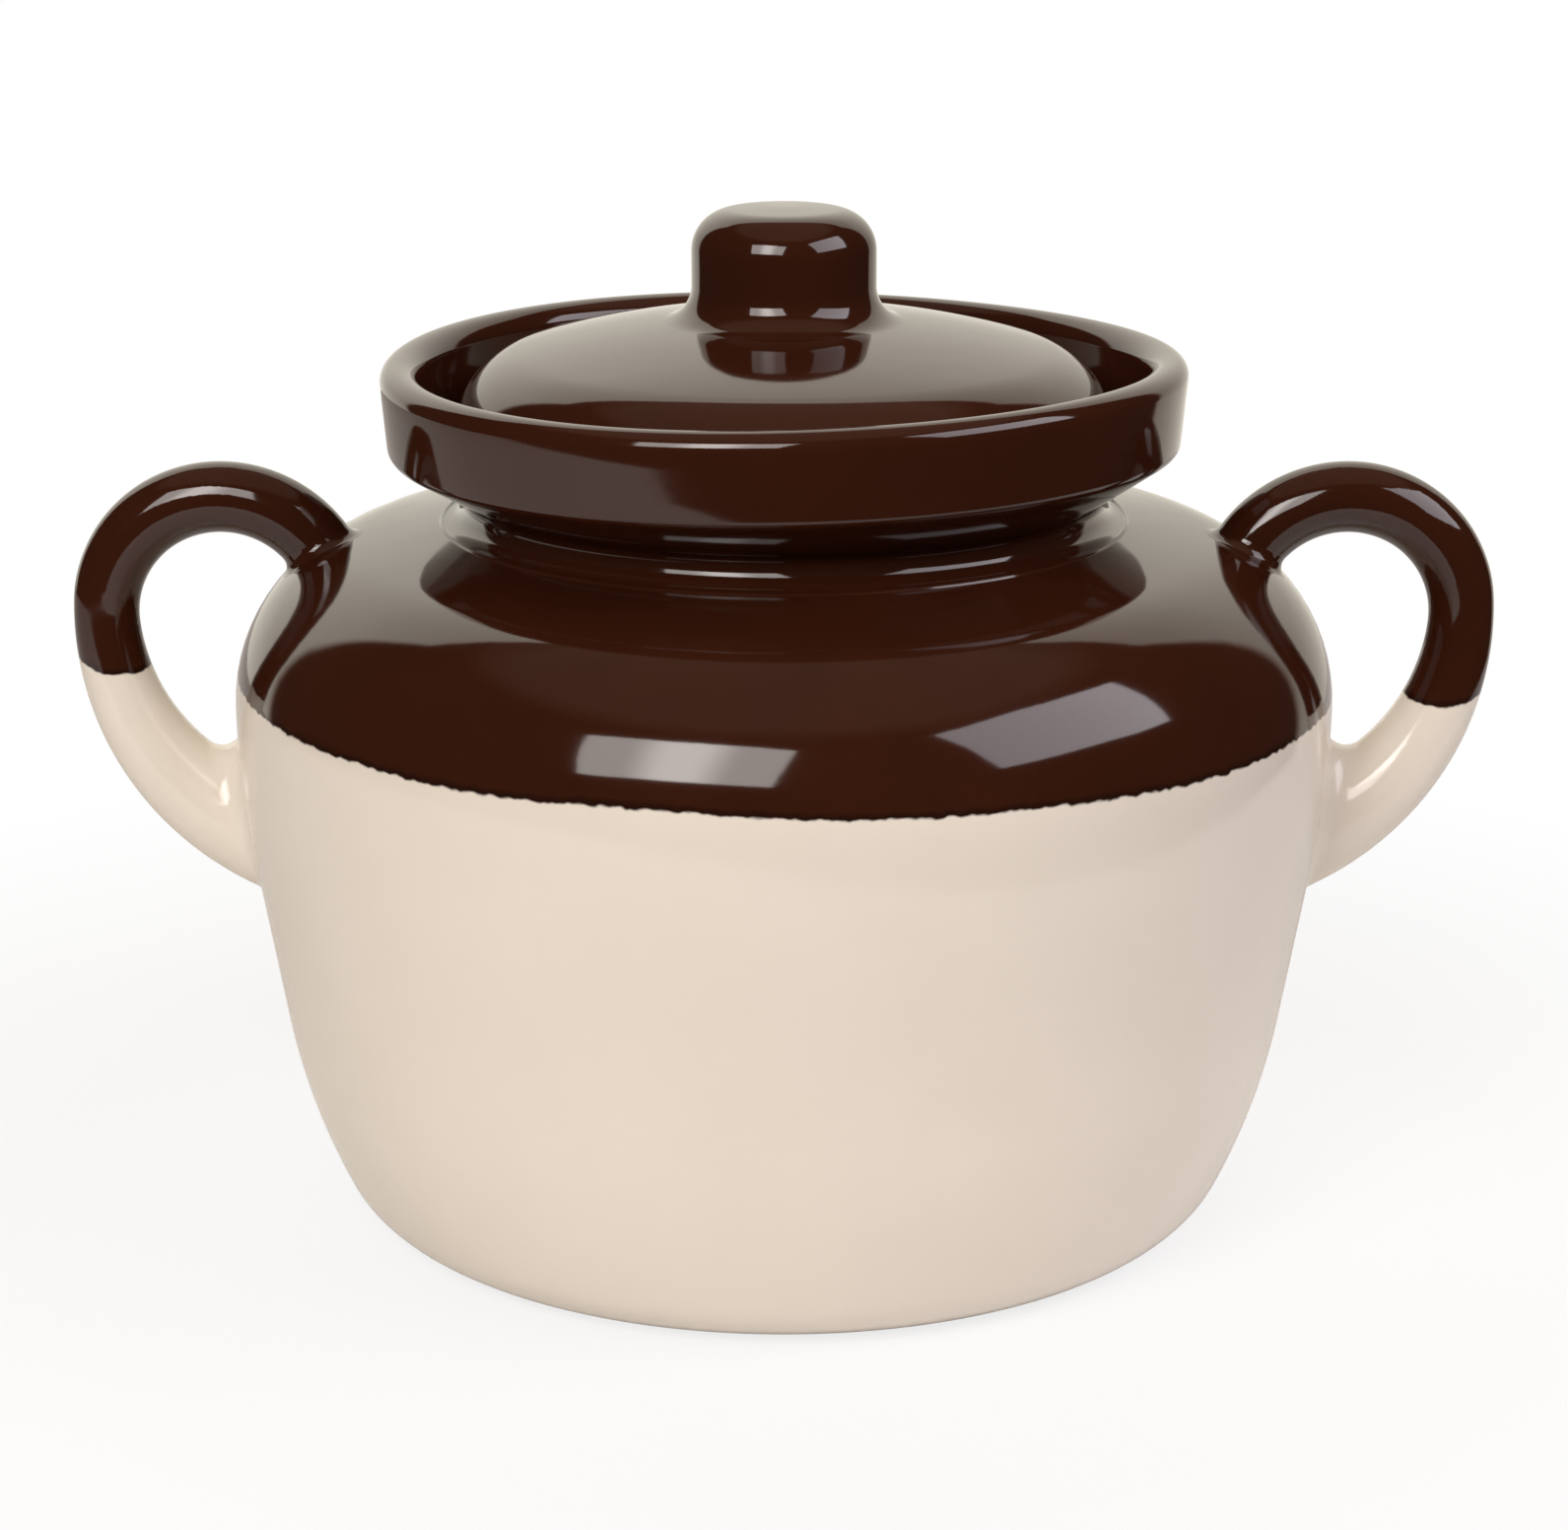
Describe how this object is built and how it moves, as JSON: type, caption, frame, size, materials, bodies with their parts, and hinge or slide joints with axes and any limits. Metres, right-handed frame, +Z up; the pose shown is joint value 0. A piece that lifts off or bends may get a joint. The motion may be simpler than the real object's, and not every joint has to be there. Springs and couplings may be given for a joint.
{
  "type": "bean pot",
  "caption": "Covered stoneware bean pot with a round shoulder, a thick collar around its mouth, loop handles at the sides and a loose domed lid with a flat-topped knob.",
  "frame": {"origin": "centre of the foot, on the plane that the pot stands on", "axes": "+Z up along the pot's axis, +X towards the right handle, +Y away from the viewer of the picture"},
  "size_m": [0.2522, 0.1942, 0.18],
  "materials": {
    "two_tone_glaze": "glossy cream glaze below, dark brown above",
    "brown_glaze": "glossy dark brown glaze"
  },
  "bodies": {
    "pot": {"pot_body": "two_tone_glaze", "left_handle": "brown_glaze", "right_handle": "brown_glaze"},
    "lid": {"lid": "brown_glaze", "lid_knob": "brown_glaze"}
  },
  "joints": [
    {"name": "lid_lift", "type": "slide", "parent": "pot", "child": "lid", "axis": [0, 0, 1], "range_m": [0, 0.06]}
  ]
}
